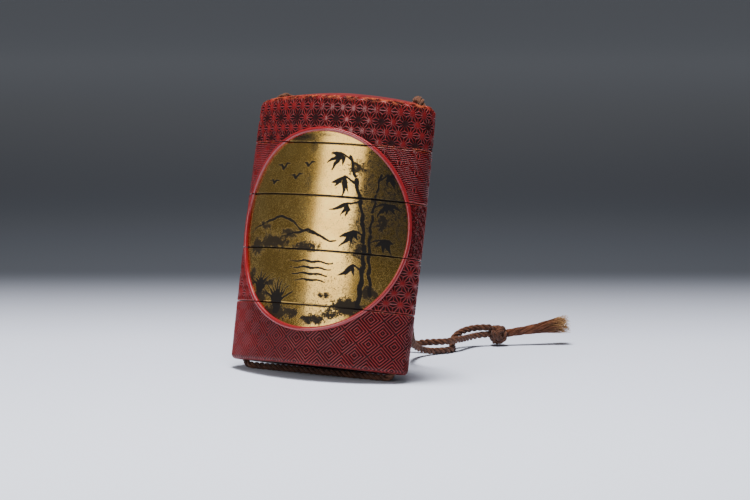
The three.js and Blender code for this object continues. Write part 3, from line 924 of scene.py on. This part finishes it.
def carved_wall(ground, count, heights, low, high, lid=False):
    """The outer wall: rings of points, with the carving, the picture's ground and their numbers."""
    s_line = np.arange(count) * plan.around / count
    s_line = s_line - plan.around * np.round(s_line / plan.around)
    s, v = np.meshgrid(s_line, heights)
    shoulder_root = shoulder_height - shoulder_radius
    rise = np.clip((v - shoulder_root) / shoulder_radius, 0, math.pi / 2) if lid else 0 * v
    z = np.where(rise > 0, shoulder_height - shoulder_radius * (1 - np.sin(rise)), v)
    depth = ground(s, v)
    reach = np.hypot(s, z - window_height)
    window = reach < window_radius + rim_width / 2
    rub = worn_end(s, z)
    depth = depth * (1 - 0.5 * rub)
    edge = np.minimum(v - low, high - v)
    depth = depth * smooth(edge, 0.06, 0.3)
    easing = 0.14 * (1 - np.clip(edge / 0.18, 0, 1)) ** 2
    if lid:
        depth = depth * (1 - smooth(rise, 1.3, 1.52))
        easing = np.where(v > high - 1, 0, easing)
    out = -carving_depth * depth
    out = np.where(window, -window_recess, out) - easing
    sink = -shoulder_radius * (1 - np.cos(rise)) + out * np.cos(rise)
    points = wall_ring(s, z, sink)
    points[..., 2] += out * np.sin(rise)
    if lid:
        points = crested(points)
    ink, dabs = picture(s, z)
    ink = np.where(edge < 0.2, 0.6, ink)
    if lid:
        worn_edge = np.maximum(smooth(rise, 0.35, 1.2), 0.75 * (1 - smooth(edge, 0.05, 0.5)))
    else:
        worn_edge = 0.45 * (1 - smooth(edge, 0.05, 0.45))
    numbers = {
        "carving": np.where(window, 0, depth),
        "polish": np.where(window, 0, 0.12 * rub),
        "rubbed": worn_edge,
        "ink": ink,
        "gold_wear_and_shade": gold_wear_and_shade_at(s, z),
        "dabs": dabs,
    }
    return points, numbers, window


labels = ("carving", "polish", "rubbed", "ink", "gold_wear_and_shade", "dabs")


def ring_stack(groups, count):
    """Rings of points with their numbers, in order, as one body closed at both ends."""
    rings, kinds = [], []
    numbers = {label: [] for label in labels}
    gold_at = []
    for points, values, window, kind in groups:
        points = np.atleast_3d(points).reshape(-1, count, 3)
        rings.append(points)
        for label in labels:
            given = np.zeros(points.shape[:2]) + (-9.0 if label == "ink" else 0.0)
            numbers[label].append(np.atleast_2d(values[label]) if values else given)
        gold_at.append(window if window is not None else np.zeros(points.shape[:2], bool))
        kinds += [kind] * len(points)
    rings = np.concatenate(rings)
    gold_at = np.concatenate(gold_at)
    count_rings = len(rings)
    low_middle = rings[0].mean(0) * (0, 0, 1)
    high_middle = rings[-1].mean(0) * (0, 0, 1)
    points = np.vstack([rings.reshape(-1, 3), low_middle, high_middle])
    values = {label: np.concatenate([np.concatenate(v).ravel(), [v[0].ravel()[0], v[-1].ravel()[-1]]])
              for label, v in numbers.items()}
    heights = np.concatenate(numbers["carving"])
    triangles = closed_triangles(count_rings, count, heights)
    flat_kinds = np.repeat(np.array(kinds), count)
    flat_kinds = np.concatenate([flat_kinds, [kinds[0], kinds[-1]]])
    face_kinds = flat_kinds[triangles].max(1)
    flat_gold = np.concatenate([gold_at.ravel(), [False, False]])
    face_kinds = np.where(flat_gold[triangles].sum(1) >= 2, GOLD, face_kinds)
    return points, triangles, values, face_kinds


def channel_cutter(side):
    """A hole for the cord down one end of the case, opening out at the base and at the lid."""
    profile = [(0.02, -1), (3.9, -1), (3.2, 0.2), (channel_radius + 0.35, 1.9), (channel_radius, 3.2),
               (channel_radius, strand_start), (channel_radius + 0.5, mouth_height - 1),
               (2.7, mouth_height + 0.6), (3.3, mouth_height + 1.9), (0.02, mouth_height + 1.9)]
    turn = np.linspace(0, 2 * math.pi, channel_sides, endpoint=False)
    rings = np.array([[(side * channel_x + r * math.cos(t), r * math.sin(t), z) for t in turn]
                      for r, z in profile])
    points = stood(rings.reshape(-1, 3))
    centres = np.array([(side * channel_x, 0, profile[k][1]) for k in (0, -1)], float)
    return np.vstack([points, stood(centres)]), closed_triangles(len(profile), channel_sides)


def channel_tool():
    left, right = channel_cutter(-1), channel_cutter(1)
    points = np.vstack([left[0], right[0]])
    triangles = np.vstack([left[1], right[1] + len(left[0])])
    tool = mesh_object("channel_tool", points, triangles, None, np.full(len(triangles), INSIDE),
                       [lacquer, gold, inside])
    tool.hide_render = True
    return tool


tool = channel_tool()


def drilled(thing):
    """The object with the cord's channels cut through it."""
    cut = thing.modifiers.new("channels", "BOOLEAN")
    cut.operation = "DIFFERENCE"
    cut.object = tool
    cut.solver = "MANIFOLD"
    graph = bpy.context.evaluated_depsgraph_get()
    mesh = bpy.data.meshes.new_from_object(thing.evaluated_get(graph), preserve_all_data_layers=True,
                                           depsgraph=graph)
    thing.modifiers.clear()
    thing.data = mesh
    return thing


def rim_arrays(low, high):
    """The polished rim's lengths that lie between two heights, each a closed bar bent to the wall."""
    inner = window_radius
    profile = [(0.0, -0.8), (0.0, -0.2), (0.03, 0.05), (0.12, 0.26), (0.27, 0.41), (0.46, 0.49), (0.7, 0.52),
               (0.94, 0.49), (1.13, 0.41), (1.28, 0.26), (1.37, 0.05), (1.4, -0.2), (1.4, -0.8)]
    radii = np.array([inner + p[0] for p in profile])
    outs = np.array([p[1] * rim_height / 0.52 if p[1] > 0 else p[1] for p in profile])
    parts = []

    def turn_at(height, side):
        share = np.clip((height - window_height) / radii, -1, 1)
        return np.arcsin(share) if side > 0 else math.pi - np.arcsin(share)

    if low < window_height - window_radius - rim_width:
        spans = [(turn_at(high, -1), 2 * math.pi + turn_at(high, 1), 200)]
    elif high > window_height + window_radius + rim_width:
        spans = [(turn_at(low, 1), turn_at(low, -1), 200)]
    else:
        spans = [(turn_at(low, 1), turn_at(high, 1), 60), (turn_at(high, -1), turn_at(low, -1), 60)]
    for start, end, steps in spans:
        t = np.linspace(0, 1, steps)[:, None]
        turn = start + (end - start) * t
        z = window_height + radii * np.sin(turn)
        s = radii * np.cos(turn)
        points = wall_ring(s, z, outs + 0 * s)
        flat = stood(points).reshape(-1, 3)
        sides = len(profile)
        ends = np.vstack([flat[:sides].mean(0), flat[-sides:].mean(0)])
        parts.append((np.vstack([flat, ends]), closed_triangles(steps, sides)[:, ::-1]))
    points = np.vstack([p for p, _ in parts])
    offset, triangles = 0, []
    for p, t in parts:
        triangles.append(t + offset)
        offset += len(p)
    return points, np.vstack(triangles)


def section(name, node, groups, count, low, high):
    """One section: its body with the channels cut through it, and its length of the rim."""
    points, triangles, values, kinds = ring_stack(groups, count)
    thing = mesh_object(name, stood(points), triangles, values, kinds, [lacquer, gold, inside])
    thing = drilled(thing)
    rim_points, rim_triangles = rim_arrays(low, high)
    size = len(rim_points)
    none = np.zeros(size)
    numbers = dict.fromkeys(labels, none) | {"polish": none + 1, "ink": none - 9}
    rim = mesh_object(name + "_rim", rim_points, rim_triangles, numbers, None, [lacquer, gold, inside])
    thing = joined([thing, rim])
    thing.data.set_sharp_from_angle(angle=math.radians(62))
    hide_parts(node)
    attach(thing, "root")
    return thing


def hollow_rings(count, profile):
    """Plain rings of the inside, from heights and distances out from the hollow's wall."""
    return [(oval_ring(cavity, count, z, out), None, None, INSIDE) for z, out in profile]


def inner_top(count, low_floor, high):
    """The collar and the hollow inside it, from the section's top face down to its floor."""
    top = high + collar_height
    return hollow_rings(count, [(high, collar_wall), (top - 0.25, collar_wall), (top, collar_wall - 0.2),
                                (top, 0.2), (top - 0.25, 0), (low_floor + 0.8, 0),
                                (low_floor + 0.2, -0.25), (low_floor, -0.9)])


def inner_bottom(count, low):
    """The socket under a section, from its ceiling down to its mouth."""
    out = collar_wall + collar_play
    return hollow_rings(count, [(low + collar_height + collar_play, out), (low, out)])


def rows_through(middle, step, low, high):
    """Heights a step apart, one of them at the pattern's middle, with the section's two ends."""
    first = math.ceil((low + 0.05 - middle) / step)
    last = math.floor((high - 0.05 - middle) / step)
    return np.concatenate([[low], middle + step * np.arange(first, last + 1), [high]])


def middle_section(name, node, ground, count, step, through, low, high):
    heights = rows_through(through, step, low, high)
    wall, numbers, window = carved_wall(ground, count, heights, low, high)
    groups = [*inner_bottom(count, low), (wall, numbers, window, LACQUER),
              *inner_top(count, low + collar_height + collar_play + floor_thickness, high)]
    return section(name, node, groups, count, low, high)


def bottom_section(name, node, ground, count, step, through, high):
    s = np.arange(count) * plan.around / count
    base = []
    inset = -base_radius
    for z, shrink in ((dish_depth, 1 - foot_share - dish_depth / half_depth), (0.0, 1 - foot_share)):
        base.append((wall_ring(s, np.full(count, z), inset, shrink), None, None, INSIDE))
    plain = {"polish": 0 * s, "rubbed": 0 * s, "ink": 0 * s - 9, "gold_wear_and_shade": 0 * s, "dabs": 0 * s}
    for k in range(12):
        turn = k * math.pi / 24
        z = base_radius * (1 - math.cos(turn))
        along = base_radius * (1 - (math.pi / 2 - turn))
        cut = ground(s, np.full(count, along)) * math.sin(turn) * (1 - 0.8 * worn_end(s, 0 * s + 3))
        ring = wall_ring(s, np.full(count, z), -base_radius * (1 - math.sin(turn)) - 0.2 * cut)
        base.append((ring, {"carving": cut, **plain}, None, LACQUER))
    heights = rows_through(through, step, base_radius, high)

    wall, numbers, window = carved_wall(ground, count, heights, -5, high)
    groups = [*base, (wall, numbers, window, LACQUER), *inner_top(count, bottom_thickness, high)]
    return section(name, node, groups, count, 0, high)


def lid_section(name, node, ground, count, step, through, low):
    top = shoulder_height - shoulder_radius + shoulder_radius * math.pi / 2
    heights = rows_through(through, step, low, top)
    wall, numbers, window = carved_wall(ground, count, heights, low, top, True)
    socket = collar_wall + collar_play
    ceiling = shoulder_height - lid_thickness
    groups = hollow_rings(count, [(ceiling, -0.6), (ceiling - 0.6, 0),
                                  (low + collar_height + collar_play, 0),
                                  (low + collar_height + collar_play, socket), (low, socket)])
    groups.append((wall, numbers, window, LACQUER))
    s = np.arange(count) * plan.around / count
    for shrink in (0.985, 0.95, 0.9, 0.83, 0.74, 0.63, 0.5, 0.36, 0.22, 0.1):
        z = shoulder_height + (crown_height - crest_rise - shoulder_height) * (1 - shrink ** 2)
        ring = crested(wall_ring(s, np.full(count, z), -shoulder_radius, shrink))
        groups.append((ring, None, None, LACQUER))
    return section(name, node, groups, count, low, crown_height + 5)


half_gap = seam_gap / 2
lower_stop, middle_stop, upper_stop, lid_stop = joints
bottom_section("bottom_section", "bottom_case", nested_lozenges, 720, base_row / 40, base_middle,
               lower_stop - half_gap)
middle_section("lower_section", "lower_case", small_stars, 726, lower_row / 18, lower_middle,
               lower_stop + half_gap, middle_stop - half_gap)
middle_section("middle_section", "middle_case", flower_lozenges, 720, 0.175, middle_middle,
               middle_stop + half_gap, upper_stop - half_gap)
middle_section("upper_section", "upper_case", fine_lines, 650, 0.15, upper_middle,
               upper_stop + half_gap, lid_stop - half_gap)
lid_section("lid_section", "lid", big_stars, 722, lid_row / 36, lid_middle, lid_stop + half_gap)
bpy.data.objects.remove(tool)


# Floor and light -----------------------------------------------------------------------------

def floor_finish():
    """Pale matt sheet that turns grey towards the back of the sweep, as painted shade, and paler again far
    off, painted to make up for the light that falls off there.
    """
    finish = Finish("pale_sheet", Specular_IOR_Level=0.2)
    spot = finish.node("ShaderNodeTexCoord", {}, {}, "Object")
    back = finish.node("ShaderNodeVectorMath", {"operation": "DOT_PRODUCT"},
                       {0: spot, 1: (-0.505, 0.863, 0.0)}, "Value")
    fibres = finish.clouds(spot, 900.0, 3)
    pale = finish.blend(fibres, (0.80, 0.83, 0.94, 1), (0.84, 0.87, 0.97, 1))
    middling = finish.blend(fibres, (0.52, 0.535, 0.62, 1), (0.54, 0.555, 0.64, 1))
    grey = finish.blend(fibres, (0.042, 0.045, 0.053, 1), (0.046, 0.049, 0.057, 1))
    far = (0.58, 0.59, 0.64, 1)
    # Painted light and shade: the grey band stands in for the sweep falling into shade, and the far part is
    # made lighter to make up for the light that falls off there.
    sheet = finish.blend(back.between(-0.22, 0.14), pale, middling)
    sheet = finish.blend(back.between(0.04, 0.25), sheet, grey)
    sheet = finish.blend(back.between(0.45, 2.2), sheet, far)
    finish.put("Base Color", sheet)
    finish.put("Roughness", 0.8 + fibres * 0.1)
    return finish.material


def studio_floor():
    """A flat sheet that reaches far past the view."""
    reach = 14000
    points = np.array([(x * reach, y * reach, 0.0) for x, y in ((-1, -1), (1, -1), (1, 1), (-1, 1))])
    triangles = np.array([(0, 1, 2), (0, 2, 3)])
    floor = mesh_object("studio_floor", points, triangles, None, None, [floor_finish()])


studio_floor()


def soft_light(name, place, target, size, power, colour):
    """A soft box in metres and watts that faces a point."""
    light = bpy.data.lights.new(name, "AREA")
    light.shape = "RECTANGLE"
    light.size, light.size_y = size
    light.energy = power
    light.color = colour
    lamp = bpy.data.objects.new(name, light)
    lamp.location = place
    lamp.rotation_euler = (Vector(target) - Vector(place)).to_track_quat("-Z", "Y").to_euler()
    bpy.context.scene.collection.objects.link(lamp)
    return lamp


middle = (0.0, 0.0, 0.045)
key = soft_light("top_light", (-0.04, 0.056, 0.66), (0.0, 0.0, 0.0), (0.13, 0.13), 8.4, (0.97, 0.98, 1.0))
key.visible_glossy = False
soft_light("ceiling_light", (0.0, -0.1, 0.75), (0.0, 0.0, 0.05), (0.55, 0.3), 3.4, (0.96, 0.98, 1.0))
soft_light("strip_light", (-0.219, -0.717, 0.325), middle, (0.42, 0.44), 2.4, (1.0, 0.985, 0.96))
soft_light("side_light", (-0.695, -0.309, 0.29), middle, (0.72, 0.44), 0.045, (0.97, 0.98, 1.0))

world = bpy.data.worlds.new("studio")
world.use_nodes = True
world.node_tree.nodes["Background"].inputs["Color"].default_value = (0.9, 0.95, 1.0, 1)
world.node_tree.nodes["Background"].inputs["Strength"].default_value = 0.14
bpy.context.scene.world = world
